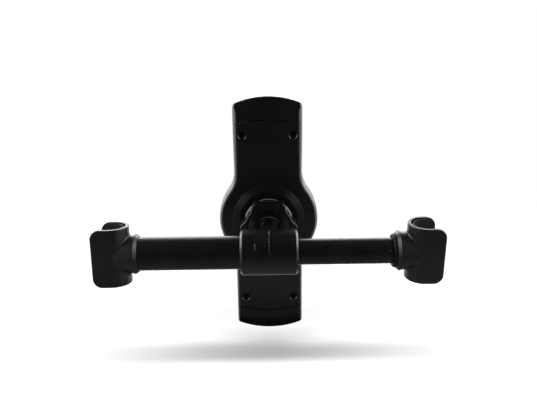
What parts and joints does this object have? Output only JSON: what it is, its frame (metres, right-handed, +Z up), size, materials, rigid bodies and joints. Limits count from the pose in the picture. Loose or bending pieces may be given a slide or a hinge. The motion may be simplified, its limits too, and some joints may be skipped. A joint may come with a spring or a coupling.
{
  "type": "headrest tablet mount",
  "caption": "Black tablet holder with sprung jaws on a ball joint, carried by a sprung telescopic bar whose end hooks press outwards on the posts of a car headrest.",
  "frame": {"origin": "centre of the left hook's post bore, on the axis of the bar", "axes": "+X along the bar towards the right hook, +Y from the seat towards the tablet, +Z up"},
  "size_m": [0.185, 0.09, 0.1504],
  "materials": {
    "hook_plastic": "satin",
    "bracket_plastic": "satin",
    "nut_plastic": "gloss",
    "holder_plastic": "fine matte texture",
    "inner_plastic": "smooth",
    "tube": "black, satin",
    "rubber": "matte",
    "spring_steel": "drawn wire",
    "screw_steel": "blackened"
  },
  "bodies": {
    "bar": {"left_hook": "hook_plastic", "left_hook_liner": "rubber", "outer_tube": "tube", "centre_bracket": "bracket_plastic", "guide_bush": "inner_plastic", "bar_spring": "spring_steel"},
    "plug": {"arm_plug": "inner_plastic"},
    "arm": {"inner_tube": "tube", "arm_ferrule": "inner_plastic", "right_hook": "hook_plastic", "right_hook_liner": "rubber"},
    "ball_cup": {"ball_liner": "inner_plastic"},
    "nut": {"lock_nut": "nut_plastic"},
    "holder": {"back_cover": "holder_plastic", "front_cover": "holder_plastic", "front_pad": "rubber", "cover_screws": "screw_steel", "left_jaw_spring": "spring_steel", "right_jaw_spring": "spring_steel"},
    "jaw_up": {"upper_jaw": "holder_plastic", "upper_jaw_pad": "rubber"},
    "jaw_down": {"lower_jaw": "holder_plastic", "lower_jaw_pad": "rubber"},
    "gear": {"pinion": "inner_plastic"}
  },
  "joints": [
    {"name": "bar_slide", "type": "slide", "parent": "bar", "child": "plug", "axis": [1, 0, 0], "range_m": [-0.04, 0], "stiffness_N_per_m": 150, "springref_m": 0.08, "deforming": ["bar_spring"]},
    {"name": "arm_twist", "type": "hinge", "parent": "plug", "child": "arm", "pos_m": [0.084, 0, 0], "axis": [1, 0, 0], "continuous": true},
    {"name": "ball_tilt", "type": "hinge", "parent": "bar", "child": "ball_cup", "pos_m": [0.084, 0.04, 0.0013], "axis": [1, 0, 0], "range_deg": [-20, 20]},
    {"name": "ball_pan", "type": "hinge", "parent": "ball_cup", "child": "nut", "pos_m": [0.084, 0.04, 0.0013], "axis": [0, 0, 1], "range_deg": [-20, 20]},
    {"name": "holder_roll", "type": "hinge", "parent": "nut", "child": "holder", "pos_m": [0.084, 0.04, 0.0013], "axis": [0, 1, 0], "continuous": true},
    {"name": "upper_jaw_slide", "type": "slide", "parent": "holder", "child": "jaw_up", "axis": [0, 0, 1], "range_m": [0, 0.03], "stiffness_N_per_m": 200, "springref_m": -0.03, "deforming": ["left_jaw_spring", "right_jaw_spring"]},
    {"name": "lower_jaw_slide", "type": "slide", "parent": "holder", "child": "jaw_down", "axis": [0, 0, -1], "range_m": [0, 0.03]},
    {"name": "pinion_spin", "type": "hinge", "parent": "holder", "child": "gear", "pos_m": [0.084, 0.0572, 0.0013], "axis": [0, 1, 0], "range_deg": [0, 290]}
  ],
  "couplings": [
    {"joint": "lower_jaw_slide", "follows": "upper_jaw_slide", "ratio": 1},
    {"joint": "pinion_spin", "follows": "upper_jaw_slide", "rad_per_m": 166.67}
  ]
}
